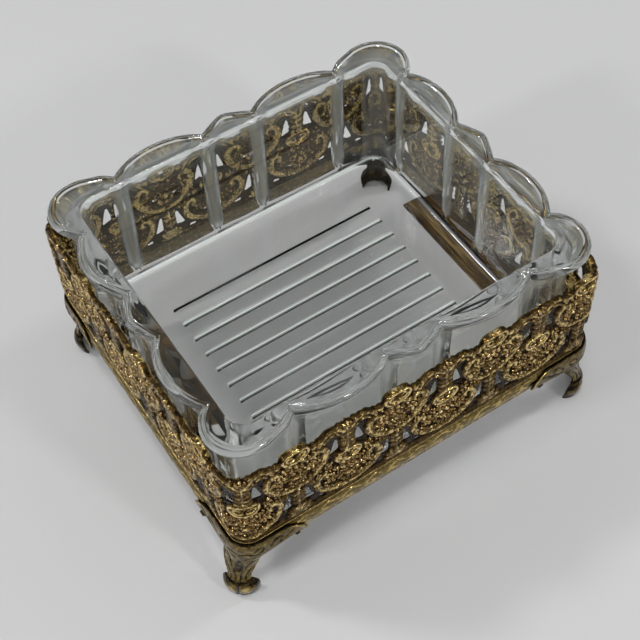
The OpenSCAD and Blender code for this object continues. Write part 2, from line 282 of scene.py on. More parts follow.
# %% Floor, sky and lamps
floor_mat, _, _ = new_material("pale_floor", Roughness=0.55, Base_Color=(0.57, 0.57, 0.575, 1))
floor_mesh = bmesh.new()
bmesh.ops.create_grid(floor_mesh, x_segments=1, y_segments=1, size=3.0)
floor_data = bpy.data.meshes.new("floor")
floor_mesh.to_mesh(floor_data)
floor_mesh.free()
floor = bpy.data.objects.new("floor", floor_data)
floor.data.materials.append(floor_mat)
bpy.context.scene.collection.objects.link(floor)

world = bpy.data.worlds.new("studio")
world.use_nodes = True
sky = world.node_tree
way = add_node(sky, "ShaderNodeTexCoord")
split = add_node(sky, "ShaderNodeSeparateXYZ")
sky.links.new(way.outputs["Generated"], split.inputs[0])
horizon, half_way, overhead = (0.3, 0.3, 0.3), (0.335, 0.335, 0.335), (0.42, 0.424, 0.428)
sky_colour = ramp(sky, split.outputs["Z"], [(0.0, horizon), (0.4, half_way), (0.9, overhead)])
sky.links.new(sky_colour, sky.nodes["Background"].inputs["Color"])
sky.nodes["Background"].inputs["Strength"].default_value = 1.0
bpy.context.scene.world = world
bpy.context.scene.cycles.max_bounces = 24
bpy.context.scene.cycles.transmission_bounces = 24
bpy.context.scene.cycles.glossy_bounces = 8


def soft_lamp(name, place, size, power):
    """A square lamp that faces the middle of the dish"""
    data = bpy.data.lights.new(name, "AREA")
    data.size, data.energy = size, power
    lamp = bpy.data.objects.new(name, data)
    lamp.location = place
    lamp.rotation_euler = (Vector((0, 0, 0.03)) - Vector(place)).to_track_quat("-Z", "Y").to_euler()
    bpy.context.scene.collection.objects.link(lamp)
    return lamp


lamps = [
    soft_lamp("lamp_back", (-0.6, 0.6, 1.0), 0.16, 4.0),
    soft_lamp("lamp_left", (-0.95, 0.0, 0.75), 0.12, 2.5),
    soft_lamp("lamp_front", (0.25, -0.95, 0.7), 0.12, 2.5),
    soft_lamp("lamp_right", (0.95, -0.1, 0.8), 0.12, 2.35),
    soft_lamp("lamp_over", (-0.2, -0.25, 1.2), 0.16, 3.7),
]
print("lamps", [lamp.name for lamp in lamps])

# %% [markdown]
# ## Helpers for the pieces
# Each piece is built in millimetres as a bmesh, then handed over in metres.
# Edges that turn sharply are marked sharp, and everything else shades smooth.

# %% From bmesh to piece


def finish_piece(name, bm, material, body, stands_for=(), sharp=35, relief=None):
    """Turns a bmesh in millimetres into a piece that rides on a body"""
    bmesh.ops.scale(bm, vec=(MM, MM, MM), verts=bm.verts)
    limit = math.radians(sharp)
    for face in bm.faces:
        face.smooth = True
    for edge in bm.edges:
        if len(edge.link_faces) == 2:
            edge.smooth = edge.calc_face_angle(0) < limit
    mesh = bpy.data.meshes.new(name)
    bm.to_mesh(mesh)
    bm.free()
    if relief is not None:
        attribute = mesh.attributes.new("relief", "FLOAT", "POINT")
        attribute.data.foreach_set("value", np.asarray(relief, np.float32))
    piece = bpy.data.objects.new(name, mesh)
    bpy.context.scene.collection.objects.link(piece)
    mesh.materials.append(material)
    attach(piece, body)
    if stands_for:
        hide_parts(*stands_for)
    print(name, len(mesh.vertices), "points", len(mesh.polygons), "faces")
    return piece


def points_of(bm):
    return np.array([v.co for v in bm.verts], float)


def move_points(bm, places):
    for vert, place in zip(bm.verts, places):
        vert.co = place


print("piece helper ready")

# %% [markdown]
# The gallery and the band run round the stand, so they are drawn flat, as the
# sheet was before it was bent, and then carried round. A place s is measured
# along the middle of the sheet from the middle of the front.

# %% The path round the stand
bend_r = stand_r - sheet_t / 2
bend_l = math.pi / 2 * bend_r
straight_l, straight_w = 2 * (half_l - stand_r), 2 * (half_w - stand_r)
strip_l = 2 * (straight_l + straight_w) + 4 * bend_l
repeats = 14
pitch = strip_l / repeats
first_heart = -0.3 * pitch


def round_the_stand(s, out):
    """Plan places at s along the strip, out past the sheet's outer face"""
    s = np.mod(s + straight_l / 2, strip_l)
    lengths = [straight_l, bend_l, straight_w, bend_l, straight_l, bend_l, straight_w, bend_l]
    x, y = np.zeros_like(s), np.zeros_like(s)
    at, corner, heading, start = 0.0, np.array([-straight_l / 2, -straight_w / 2]), 0.0, None
    for k, length in enumerate(lengths):
        here = (s >= at - 1e-9) & (s <= at + length + 1e-9)
        run = s[here] - at
        along = np.array([math.cos(heading), math.sin(heading)])
        outward = np.array([along[1], -along[0]])
        if k % 2 == 0:
            x[here] = corner[0] + along[0] * run + outward[0] * (stand_r + out[here])
            y[here] = corner[1] + along[1] * run + outward[1] * (stand_r + out[here])
            corner = corner + along * length
        else:
            angle = heading - math.pi / 2 + run / bend_r
            x[here] = corner[0] + np.cos(angle) * (stand_r + out[here])
            y[here] = corner[1] + np.sin(angle) * (stand_r + out[here])
            heading += math.pi / 2
        at += length
    return x, y


print("strip length", round(strip_l, 2), "pitch", round(pitch, 2))

# %% [markdown]
# ## The gallery's pattern
# One repeat is an upper heart between two stems, with a lower heart under each
# stem and a palmette under the upper heart. The real sheet was stamped, so its
# surface is one height at each place. That is how it is made here too: every
# ribbon, leaf and bead gives a height, and the highest one counts. The helpers
# below give those heights for many places at once.

# %% Heights of ribbons, leaves and beads


def smooth_line(points, steps=6):
    """More points on a smooth curve through the given ones"""
    p = np.array(points, float)
    p = np.vstack([2 * p[0] - p[1], p, 2 * p[-1] - p[-2]])
    line = []
    for i in range(1, len(p) - 2):
        for t in np.arange(steps) / steps:
            a, b, c, d = p[i - 1 : i + 3]
            second, third = 2 * a - 5 * b + 4 * c - d, 3 * b - a - 3 * c + d
            line.append(0.5 * (2 * b + (c - a) * t + second * t**2 + third * t**3))
    line.append(p[-2])
    return np.array(line)


def ribbon(u, z, points, height, lobes=0.0):
    """A rounded ribbon through (u, z, half width) points

    Wide ones are grooved, and lobes make their edges leafy.
    """
    line = smooth_line(points)
    top, run = np.zeros_like(u), 0.0
    for a, b in zip(line[:-1], line[1:]):
        d = b[:2] - a[:2]
        long = max(math.hypot(*d), 1e-9)
        t = np.clip(((u - a[0]) * d[0] + (z - a[1]) * d[1]) / long**2, 0, 1)
        half = (a[2] + (b[2] - a[2]) * t) * (1 + lobes * np.cos(2 * math.pi * (run + t * long) / 1.5))
        away = np.hypot(u - a[0] - t * d[0], z - a[1] - t * d[1]) / half
        grooves = np.clip(half - 0.55, 0, 0.5) * (1 - np.cos(3 * math.pi * away))
        top = np.maximum(top, height * (np.clip(1 - away**2.4, 0, 1) ** 0.5 - grooves * (away < 1)))
        run += long
    return top


def curl(u, z, centre, radius, turn=0.0):
    """A small spiral tendril"""
    a = np.mod(np.arctan2(u - centre[0], z - centre[1]) + turn, 2 * math.pi) / (2 * math.pi)
    away = np.hypot(u - centre[0], z - centre[1])
    arm = 0.75 * np.exp(-(((away - radius * (0.4 + 0.6 * a)) / 0.26) ** 2))
    return arm + 0.6 * np.exp(-((away / 0.3) ** 2))


def leaf(u, z, base, angle, length, width, height):
    """A pointed leaf with a vein, angle in degrees from upright"""
    a = math.radians(angle)
    along = (u - base[0]) * math.sin(a) + (z - base[1]) * math.cos(a)
    across = (u - base[0]) * math.cos(a) - (z - base[1]) * math.sin(a)
    t = np.clip(along / length, 0, 1)
    half = width / 2 * np.sin(math.pi * t**0.8) ** 0.7 + 1e-6
    share = np.abs(across) / half
    inside = (along > 0) & (along < length) & (share < 1)
    bulge = np.sqrt(np.clip(1 - share**2, 0, 1)) - 0.35 * np.exp(-((across / (0.12 * width)) ** 2))
    return np.where(inside, height * bulge, 0)


def bead(u, z, centre, radius, height):
    away = np.hypot(u - centre[0], z - centre[1]) / radius
    return height * np.sqrt(np.clip(1 - away**2, 0, 1))


def flower(centre, radius, petals=5, turn=0.0):
    """The beads of a rosette, as (u, z, radius)"""
    ring = [2 * math.pi * k / petals + turn for k in range(petals)]
    reach = radius * 0.64
    return [(*centre, radius * 0.32)] + [
        (centre[0] + reach * math.sin(a), centre[1] + reach * math.cos(a), radius * 0.34) for a in ring
    ]


print("pattern helpers ready")

# %% [markdown]
# The repeat itself. u runs along the strip from the middle of an upper heart,
# z is the height above the table. The pattern is the same on both sides of the
# heart, so only one side is drawn, out to the stem.

# %% One repeat of the pattern
stem_u = pitch / 2
stretch = pitch / 30

# points of a ribbon as (u, z, half width)
UPPER_HEART = [
    (0, 43.7, 0.9), (3.2, 44.3, 1.0), (6.0, 46.4, 1.15), (8.0, 49.2, 1.25), (8.7, 52.0, 1.25),
    (7.9, 54.4, 1.1), (6.2, 55.2, 0.9), (5.0, 54.1, 0.7), (5.5, 53.0, 0.45),
]
LOWER_HEART = [
    (0, 31.6, 0.95), (3.6, 32.1, 1.05), (6.8, 33.8, 1.1), (9.0, 36.4, 1.15), (9.6, 39.0, 1.15),
    (9.0, 41.2, 1.0), (7.6, 42.2, 0.8), (6.4, 41.3, 0.65), (6.8, 40.3, 0.4),
]
STEM_TIP = [(1.0, 57.6, 0.5), (3.0, 59.6, 0.75), (5.6, 60.0, 0.8), (7.4, 58.4, 0.75), (8.4, 56.6, 0.6)]
# the loop and the wreath of a cap, with z measured from the cap's own height
CAP_LOOP = [(0.5, 0.4, 0.4), (1.8, 0.4, 0.5), (2.6, 1.4, 0.5), (1.9, 2.4, 0.45), (0.9, 1.9, 0.4)]
CAP_WREATH = [(0.6, -0.8, 0.5), (2.6, -0.4, 0.6), (3.7, 1.4, 0.55), (2.9, 3.2, 0.5), (0, 3.5, 0.6)]
# tendrils as (u, z, radius, turn)
CURLS = [
    (2.5, 50.4, 1.3, 0), (5.9, 47.6, 1.2, 2), (2.0, 55.0, 1.0, 4), (6.6, 51.0, 1.1, 1),
    (12.5, 38.0, 1.3, 3), (8.4, 39.9, 1.1, 5), (13.3, 42.2, 1.0, 0), (11.3, 33.6, 0.9, 2),
    (9.2, 45.0, 0.9, 1), (6.9, 58.6, 0.8, 3), (12.7, 60.1, 0.7, 5), (3.8, 41.9, 0.9, 4),
]
# piercings as (u, z) corners
HOLES = [
    [(9.7, 48.6), (12.8, 49.5), (12.5, 53.0), (11.8, 55.3), (10.9, 53.2)],
    [(2.2, 47.2), (4.8, 49.2), (2.5, 49.3)],
    [(6.0, 44.2), (7.7, 43.4), (8.0, 44.8)],
    [(2.1, 34.3), (4.9, 33.7), (2.9, 39.9), (2.2, 40.1)],
    [(5.9, 30.9), (8.3, 30.5), (7.7, 31.9), (6.3, 32.1)],
    [(10.3, 35.5), (12.7, 34.1), (12.4, 35.8)],
    [(9.9, 56.8), (11.5, 57.6), (13.1, 57.1), (11.5, 58.5)],
    [(10.6, 41.8), (12.3, 41.3), (12.0, 43.2)],
    [(2.6, 55.0), (4.2, 56.2), (2.9, 56.5)],
]


def clear_of(u, z, line):
    """How far a place is from a ribbon's edge"""
    return min(math.hypot(u - a, z - b) - c for a, b, c in smooth_line(line))


def draw_beads():
    """Every bead on one side of the heart as (u, z, radius)"""
    beads = flower((0, 52.4), 2.5) + flower((4.5, 50.4), 2.0, 5, 0.5) + flower((3.4, 54.4), 1.5, 4, 0.4)
    beads += flower((15, 40.0), 2.6) + flower((9.9, 38.0), 2.0, 5, 0.3) + flower((11.6, 41.6), 1.3, 4)
    beads += flower((15, 59.7), 1.6, 5)
    beads += [(15, 47.2, 0.5), (0, 42.4, 0.55), (6.6, 57.2, 0.7), (8.6, 46.6, 0.6), (9.6, 43.9, 0.6)]
    beads = [b for b in beads if -0.05 < b[0] < 15.05]
    # seeded fillers between the forms, clear of the hearts and the piercings
    zones = [((0, 7.0), (45.5, 56.8)), ((7.6, 15), (33.6, 43.6)), ((5, 10), (42.5, 46.5))]
    hearts = (UPPER_HEART, [(15 - a, b, c) for a, b, c in LOWER_HEART])
    seeds = np.random.default_rng(11)
    for _ in range(1500):
        (u0, u1), (z0, z1) = zones[seeds.integers(len(zones))]
        u, z, radius = seeds.uniform(u0, u1), seeds.uniform(z0, z1), seeds.uniform(0.28, 0.6)
        near = min(math.hypot(u - a, z - b) - c for a, b, c in beads)
        if near < radius * 1.1 or u < radius or u > 15 - radius:
            continue
        if any(clear_of(u, z, heart) < radius * 0.5 for heart in hearts):
            continue
        t, reach = np.arange(0, 6.3, 0.7), radius * 1.2
        if any(inside_shape(u + reach * np.cos(t), z + reach * np.sin(t), hole).any() for hole in HOLES):
            continue
        beads.append((u, z, radius))
    return beads


def inside_shape(u, z, shape):
    """Which places lie inside a polygon"""
    inside = np.zeros(u.shape, bool)
    for (ax, az), (bx, bz) in zip(shape, shape[1:] + shape[:1]):
        crosses = (az > z) != (bz > z)
        where = (bx - ax) * (z - az) / (bz - az if bz != az else 1e-9) + ax
        inside ^= crosses & (u < where)
    return inside


BEADS = draw_beads()
print(len(BEADS), "beads in half a repeat")


def pattern(s, z):
    """Height of the stamped pattern, and which places are pierced or above the wavy edge"""
    u = np.abs(np.mod(s - first_heart + pitch / 2, pitch) - pitch / 2) / stretch
    v = stem_u / stretch - u
    top = np.zeros_like(u)

    def raise_to(height):
        np.maximum(top, height, out=top)

    raise_to(ribbon(u, z, UPPER_HEART, 1.0, 0.14))
    raise_to(ribbon(v, z, LOWER_HEART, 1.0, 0.14))
    for cu, cz, radius, turn in CURLS:
        raise_to(curl(u, z, (cu, cz), radius, turn))
    # caps over both hearts
    for across, low in ((u, 57.4), (v, 44.6)):
        raise_to(ribbon(across, z - low, CAP_LOOP, 0.9))
        raise_to(ribbon(across, z - low, CAP_WREATH, 0.95))
        raise_to(bead(across, z, (0, low - 1.2), 0.9, 0.9))
    # leaves up the stem and its curled tips
    for k in range(5):
        raise_to(leaf(v, z, (0.1, 48.4 + 2.0 * k), 52, 3.0 - 0.15 * k, 1.7, 0.8))
    raise_to(ribbon(v, z, [(0, 48.5, 0.45), (0, 58.5, 0.45)], 0.7))
    raise_to(ribbon(v, z, STEM_TIP, 0.9))
    raise_to(ribbon(v, z, [(1.6, 56.4, 0.4), (3.6, 58.0, 0.5), (5.4, 58.3, 0.5), (6.8, 56.8, 0.45)], 0.75))
    raise_to(bead(u, z, (5.2, 58.0), 1.2, 0.9))
    # flowers in the upper heart
    raise_to(leaf(u, z, (1.0, 46.0), 35, 4.0, 1.6, 0.75))
    raise_to(bead(u, z, (0, 48.8), 1.3, 0.85))
    raise_to(ribbon(u, z, [(0, 45, 0.4), (0, 50, 0.45)], 0.6))
    # flowers in the lower heart
    raise_to(leaf(v, z, (0.8, 33.6), 40, 4.4, 1.6, 0.75))
    raise_to(bead(v, z, (0, 36.4), 1.3, 0.85))
    raise_to(ribbon(v, z, [(0, 33, 0.4), (0, 37.5, 0.45)], 0.6))
    # palmette and its stem
    for k, angle in enumerate((-78, -52, -26, 0, 26, 52, 78)):
        raise_to(leaf(u, z, (0, 30.4), angle, 5.0 - 0.25 * abs(k - 3), 1.7, 0.85))
    for k in range(3):
        raise_to(leaf(u, z, (0.1, 35.4 + 2.1 * k), 48, 2.8, 1.6, 0.75))
    raise_to(ribbon(u, z, [(0, 35, 0.45), (0, 42.5, 0.5)], 0.7))
    for at, up_z, radius in BEADS:
        raise_to(bead(u, z, (at, up_z), radius * 1.15, 0.45))
    # plain border at the foot of the strip
    border = 0.45 * np.exp(-(((z - 29.2) / 0.35) ** 2)) + 0.45 * np.exp(-(((z - 30.2) / 0.3) ** 2))
    raise_to(border)
    pierced = np.zeros(u.shape, bool)
    for shape in HOLES:
        pierced |= inside_shape(u, z, shape)
    pierced |= (z > 58.6) & (top < 0.12)
    return top, pierced


print("repeat drawn,", len(HOLES), "piercings a side")

# %% [markdown]
# Each side is a fine grid from corner to corner. Its places get their height
# from the pattern, the pierced faces are taken out, and the ragged edges left
# by the grid are drawn smooth. Then the sheet is carried round the stand and
# given its inner face, which shows through the glass. The same forms stand out
# there, a little lower.

# %% The four sides of the gallery
corner_middles = [
    -straight_l / 2 - bend_l / 2,
    straight_l / 2 + bend_l / 2,
    straight_l / 2 + bend_l * 1.5 + straight_w,
    straight_l * 1.5 + bend_l * 2.5 + straight_w,
    straight_l * 1.5 + bend_l * 3.5 + straight_w * 2,
]
gallery_top = 61.3
grain = 0.285
face_in, back_depth, back_relief = 0.35, 0.75, 0.8


def gallery_side(name, start, end):
    columns, rows = round((end - start) / grain), round((gallery_top - strip_z) / grain)
    bm = bmesh.new()
    bmesh.ops.create_grid(bm, x_segments=columns, y_segments=rows, size=1.0)
    flat = points_of(bm)
    s = start + (flat[:, 0] + 1) / 2 * (end - start)
    z = strip_z + (flat[:, 1] + 1) / 2 * (gallery_top - strip_z)
    height, pierced = pattern(s, z)
    for vert, a, b, h in zip(bm.verts, s, z, height):
        vert.co = (a, b, h)
    bm.verts.ensure_lookup_table()
    gone = [f for f in bm.faces if sum(pierced[v.index] for v in f.verts) >= 3]
    bmesh.ops.delete(bm, geom=gone, context="FACES")
    edge_verts = dict.fromkeys(v for e in bm.edges if e.is_boundary for v in e.verts)
    edge_verts = [v for v in edge_verts if start + 0.01 < v.co.x < end - 0.01 and v.co.y > strip_z + 0.01]
    for _ in range(3):
        bmesh.ops.smooth_vert(bm, verts=edge_verts, factor=0.5, use_axis_x=True, use_axis_y=True)
    made = bmesh.ops.extrude_face_region(bm, geom=list(bm.faces), use_keep_orig=True)["geom"]
    inside = {v for v in made if isinstance(v, bmesh.types.BMVert)}
    behind = np.array([v in inside for v in bm.verts])
    places = points_of(bm)
    out = np.where(behind, -back_depth - back_relief * places[:, 2], places[:, 2] - face_in)
    x, y = round_the_stand(places[:, 0], out)
    # painted light: the inner face is a quarter lighter than its height gives, for lamp light that hardly
    # reaches it through the glass
    relief = np.clip(places[:, 2] + 0.25 * behind, 0, 1)
    move_points(bm, zip(x, y, places[:, 1]))
    bmesh.ops.recalc_face_normals(bm, faces=bm.faces)
    return finish_piece(name, bm, gallery_brass, "stand", sharp=180, relief=relief)


sides = [
    gallery_side(name, corner_middles[k], corner_middles[k + 1])
    for k, name in enumerate(("gallery_front", "gallery_right", "gallery_back", "gallery_left"))
]
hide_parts("gallery_strip")

# %% [markdown]
# The beads catch the light more than anything else on the sheet, and they are
# too small for the grid to round. So each one is a small ball of its own, sunk
# into the sheet. There are thousands, so a ball has 32 faces outside, and 20 on
# the inner face, where the glass hides most of it. Smooth shading does the rest.

# %% The beads


def ball_mesh(make, **settings):
    """A unit ball, to be copied for every bead"""
    ball = bmesh.new()
    make(ball, radius=1.0, **settings)
    shape = bpy.data.meshes.new("one_bead")
    ball.to_mesh(shape)
    ball.free()
    return shape


bead_crest, bead_back, bead_wear = 0.6, 1.55, 0.7
outer_bead = ball_mesh(bmesh.ops.create_uvsphere, u_segments=8, v_segments=4)
inner_bead = ball_mesh(bmesh.ops.create_icosphere, subdivisions=1)


def build_beads():
    """Round beads outside, and plainer ones on the inner face"""
    bm = bmesh.new()
    homes = []
    for k in range(repeats):
        for side in (-1, 1):
            for u, z, radius in BEADS:
                if side < 0 and not 0.05 < u < 14.95:
                    continue
                s = first_heart + k * pitch + side * u * stretch
                for out, shape in ((bead_crest - radius, outer_bead), (radius - bead_back, inner_bead)):
                    bm.from_mesh(shape)
                    x, y = round_the_stand(np.array([s]), np.array([out]))
                    homes += [(x[0], y[0], z, radius)] * len(shape.vertices)
    homes = np.array(homes)
    move_points(bm, points_of(bm) * homes[:, 3:] + homes[:, :3])
    print("faces of a bead", len(outer_bead.polygons), "outside", len(inner_bead.polygons), "inside")
    print("triangles", sum(len(f.verts) - 2 for f in bm.faces))
    tone = np.full(len(homes), bead_wear)
    return finish_piece("gallery_beads", bm, bead_brass, "stand", sharp=180, relief=tone)


build_beads()

# %% [markdown]
# ## The base band
# A rolled band with a fine lip, a row of round bosses and a wavy line over
# them. It is one ring: a long grid wrapped round the stand and closed.

# %% The band
# the band's section as (distance out from the gallery's face, height)
BAND_LINE = [
    (-0.75, 0.3), (-0.2, 0.0), (0.25, 0.12), (0.4, 0.6), (0.3, 1.1), (0.5, 1.5), (0.75, 2.4), (0.8, 3.4),
    (0.7, 4.4), (0.45, 5.2), (0.2, 5.6), (0.25, 5.9), (0.15, 6.3), (-0.2, 6.4), (-0.8, 6.38),
    (-0.8, 0.34), (-0.75, 0.3),
]
bosses = 58


def band_relief(s, up):
    """Bosses and the wavy line, in millimetres of height"""
    step = strip_l / bosses
    q = np.mod(s, step) - step / 2
    away = np.sqrt((q / 1.9) ** 2 + ((up - 2.9) / 1.25) ** 2)
    oval = 0.16 * np.exp(-(((away - 0.85) / 0.16) ** 2)) + 0.12 * np.clip(1 - away**2, 0, 1)
    wave = 4.2 + 0.55 * np.sin(2 * math.pi * q / step)
    line = 0.2 * np.exp(-(((up - wave - 0.35) / 0.3) ** 2)) - 0.14 * np.exp(-(((up - wave) / 0.18) ** 2))
    return np.maximum(oval, 0) + line


def build_band():
    line = smooth_line([(o, h, 0) for o, h in BAND_LINE[:-2]], 3)[:, :2]
    line = np.vstack([line, [BAND_LINE[-2]], [BAND_LINE[-1]]])
    columns = 900
    bm = bmesh.new()
    bmesh.ops.create_grid(bm, x_segments=columns, y_segments=len(line) - 1, size=1.0)
    flat = points_of(bm)
    s = (flat[:, 0] + 1) / 2 * strip_l
    row = np.clip(np.round((flat[:, 1] + 1) / 2 * (len(line) - 1)).astype(int), 0, len(line) - 1)
    out, up_z = line[row, 0], line[row, 1]
    shown = (up_z > 1.2) & (up_z < 5.5) & (out > 0)
    raised = np.where(shown, band_relief(s, up_z), 0)
    x, y = round_the_stand(s, out + raised * 0.8)
    move_points(bm, zip(x, y, band_z + up_z))
    relief = np.clip(0.55 + raised * 2.2 + 0.15 * (up_z < 1), 0, 1)
    keep = bm.verts.layers.float.new("relief")
    for vert, value in zip(bm.verts, relief):
        vert[keep] = value
    bmesh.ops.remove_doubles(bm, verts=bm.verts, dist=0.002)
    bmesh.ops.recalc_face_normals(bm, faces=bm.faces)
    return finish_piece("band", bm, band_brass, "stand", ("base_band",), sharp=60)


build_band()

# %% [markdown]
# ## The feet
# Each foot is a stamped shell bent round its corner: wings under the gallery,
# a narrow reeded ankle and a turned-out toe. It is a grid carried round the
# corner by the same rows as its solid, with finer steps. The wings are engraved
# with scrolls and the ankle with reeds. The toe is bent round far enough to be
# hollow behind, and the inside of the sheet is near black, painted shade. More
# painted shade darkens the toe, its flanks and the collar under the gallery.

# %% The feet
collar_z, wing_z = strip_z - 0.1, band_z + 0.6
wing_w, ankle_w, toe_w, toe_out, hug = 20.9, 4.0, 7.6, 3.0, 0.95
foot_slew, toe_lean, band_out = 1.1, 2.5, 0.75
face_in_foot, foot_sheet = 0.25, 0.6
# height in the middle and at the ends, half width, distance out past the gallery's
# corner, bend as a share of the reach, and how far the lean has taken over
FOOT_ROWS = [
    (collar_z, collar_z - 0.4, wing_w * 0.72, hug + 0.2, 1, 0),
    (collar_z - 0.25 * band_h, collar_z - 0.24 * band_h, wing_w * 0.85, hug + band_out * 0.8, 1, 0),
    (collar_z - 0.50 * band_h, collar_z - 0.45 * band_h, wing_w * 0.93, hug + band_out, 1, 0),
    (collar_z - 0.75 * band_h, collar_z - 0.66 * band_h, wing_w * 0.98, hug + band_out, 1, 0),
    (wing_z - 0.1, wing_z + 0.4, wing_w, hug + band_out * 0.85, 1, 0),
    (wing_z * 0.92, wing_z * 0.98, wing_w * 0.93, hug + band_out * 0.4, 1, 0.04),
    (wing_z * 0.85, wing_z * 0.96, wing_w * 0.82, hug + 0.1, 1, 0.15),
    (wing_z * 0.78, wing_z * 0.92, wing_w * 0.70, hug - 0.1, 0.98, 0.32),
    (wing_z * 0.71, wing_z * 0.86, wing_w * 0.58, hug - 0.1, 0.94, 0.50),
    (wing_z * 0.64, wing_z * 0.77, wing_w * 0.46, hug, 0.87, 0.66),
    (wing_z * 0.56, wing_z * 0.66, wing_w * 0.34, hug + 0.2, 0.78, 0.80),
    (wing_z * 0.48, wing_z * 0.53, ankle_w * 1.25, hug + 0.5, 0.68, 0.90),
    (wing_z * 0.40, wing_z * 0.42, ankle_w, toe_out * 0.55, 0.60, 0.96),
    (wing_z * 0.35, wing_z * 0.36, ankle_w * 1.1, toe_out * 0.72, 0.54, 0.99),
    (wing_z * 0.30, wing_z * 0.31, toe_w * 0.78, toe_out * 0.91, 0.60, 1),
    (wing_z * 0.23, wing_z * 0.23, toe_w * 0.94, toe_out, 0.62, 1),
    (wing_z * 0.13, wing_z * 0.13, toe_w, toe_out, 0.62, 1),
    (wing_z * 0.04, wing_z * 0.04, toe_w, toe_out * 0.93, 0.62, 1),
    (0, 0, toe_w * 0.97, toe_out * 0.82, 0.62, 1),
]
# engraved lines of one wing as (distance from the corner, row, half width)
FOOT_CUTS = [
    [
        (2.2, 9.4, 0.3), (3.4, 7.4, 0.32), (6.0, 6.2, 0.32), (8.0, 6.8, 0.3),
        (7.6, 8.2, 0.3), (5.8, 8.3, 0.28), (5.6, 7.4, 0.25),
    ],
    [(1.6, 5.6, 0.3), (5.5, 4.4, 0.35), (9.5, 3.9, 0.35), (13.5, 2.9, 0.32), (17.0, 1.5, 0.3)],
    [(0, 3.4, 0.3), (2.4, 2.6, 0.32), (5.0, 3.3, 0.32), (7.4, 2.2, 0.3), (5.8, 1.4, 0.28), (4.6, 2.1, 0.25)],
    [(9.4, 2.7, 0.28), (11.2, 1.4, 0.3), (13.2, 1.7, 0.28), (12.4, 2.7, 0.25)],
    [(0, 7.2, 0.5), (0.6, 8.8, 1.0), (0.2, 10.0, 0.6)],
    [(9.0, 5.4, 0.28), (12.0, 4.7, 0.3), (15.6, 3.4, 0.25)],
]


def fade(row, middle, width, power=2):
    """1 at one row, fading to 0 within about a width of it"""
    return np.exp(-(((row - middle) / width) ** power))


def foot_relief(u, row, side):
    """Engraved scrolls on the wings, reeds on the ankle, a raised edge and a rolled toe"""
    s = np.abs(u) * side
    cut = np.maximum.reduce([ribbon(s, row, points, 1.0) for points in FOOT_CUTS])
    reed = np.exp(-((np.cos(u * math.pi * 2.6) / 0.45) ** 2)) * (np.abs(u) < 0.93)
    reeds = fade(row, 11.7, 2.2, 4) * reed
    edge = 0.25 * fade(np.abs(u), 0.97, 0.03) * (row < 13)
    lobes = np.abs(np.sin(u * math.pi * 0.85)) ** 0.5 * (np.abs(u) < 0.98)
    toe = 0.5 * fade(row, 15.6, 1.0) * lobes
    crease = fade(row, 13.6, 0.35) + fade(u, 0, 0.07) * (row > 13.5) + fade(row, 17.2, 0.3)
    sunk = np.maximum.reduce([cut, reeds, np.minimum(crease, 1) * (row > 13)])
    return np.maximum(edge, toe) - 0.28 * sunk


def foot_wear_and_shade(u, row, raised):
    """Relief for the material, with painted shade: darker on the toe, dark on its flanks, and black at the
    collar, where the gap under the gallery lies in shadow
    """
    # painted shade on the toe's flanks
    flank = np.clip(np.abs(u) * 4 - 1.4, 0, 1) * (row > 14.2)
    # the whole toe is darker as painted shade
    tone = 0.5 + raised * 1.6 - 0.25 * (row > 13) - 0.6 * flank
    # the top rows at the collar go black, a painted shadow of the gap under the gallery
    return np.clip(tone, 0, 1) * (row > 0.3)


def build_foot(name, side_x, side_y, askew, back_share, node):
    """A foot at the +X +Y corner, mirrored to its own corner"""
    columns, rows = 160, 108
    table = smooth_line(FOOT_ROWS, rows // (len(FOOT_ROWS) - 1))
    bm = bmesh.new()
    bmesh.ops.create_grid(bm, x_segments=columns, y_segments=len(table) - 1, size=1.0)
    flat = points_of(bm)
    u = flat[:, 0]
    place = (1 - flat[:, 1]) / 2 * (len(table) - 1)
    q = table[np.clip(np.round(place).astype(int), 0, len(table) - 1)]
    row = place / (len(table) - 1) * (len(FOOT_ROWS) - 1)
    raised = foot_relief(u, row, q[:, 2])
    slew, lean = askew * foot_slew, back_share * toe_lean
    z = q[:, 0] + (q[:, 1] - q[:, 0]) * u * u
    reach = stand_r + q[:, 3]
    r = reach * np.where(q[:, 5] > 0.5, q[:, 4], np.minimum(q[:, 4], 1))
    widest = np.where((q[:, 4] > 0.999) & (q[:, 5] < 0.5), math.pi / 4 * r, math.pi * r)
    s = u * q[:, 2] + slew * (1 - q[:, 5])
    bend = np.minimum(widest, np.abs(s)) * np.sign(s)
    past = s - bend
    a = math.pi / 4 + bend / r
    middle = (reach - r) / math.sqrt(2)
    aside = lean * q[:, 5] / math.sqrt(2)
    depth = face_in_foot - raised
    x = half_l - stand_r + middle - aside + (r - depth) * np.cos(a) - past * np.sin(a)
    y = half_w - stand_r + middle + aside + (r - depth) * np.sin(a) + past * np.cos(a)
    move_points(bm, zip(x, y, np.maximum(z, 0)))
    keep = bm.verts.layers.float.new("relief")
    for vert, value in zip(bm.verts, foot_wear_and_shade(u, row, raised)):
        vert[keep] = value
    bmesh.ops.scale(bm, vec=(side_x, side_y, 1), verts=bm.verts)
    bmesh.ops.recalc_face_normals(bm, faces=bm.faces)
    # an open sheet has no outside of its own, so the face that is furthest out decides
    outside = Vector((side_x * 200, side_y * 200, 20))
    front_face = min(bm.faces, key=lambda f: (f.calc_center_median() - outside).length)
    if front_face.normal.dot(Vector((side_x, side_y, 0))) < 0:
        bmesh.ops.reverse_faces(bm, faces=bm.faces)
    foot = finish_piece(name, bm, foot_brass, "stand", (node,), sharp=180)
    thick = foot.modifiers.new("sheet", "SOLIDIFY")
    thick.thickness, thick.offset = foot_sheet * MM, -1
    foot.data.materials.append(foot_inside_shade)
    thick.material_offset = 1
    return foot


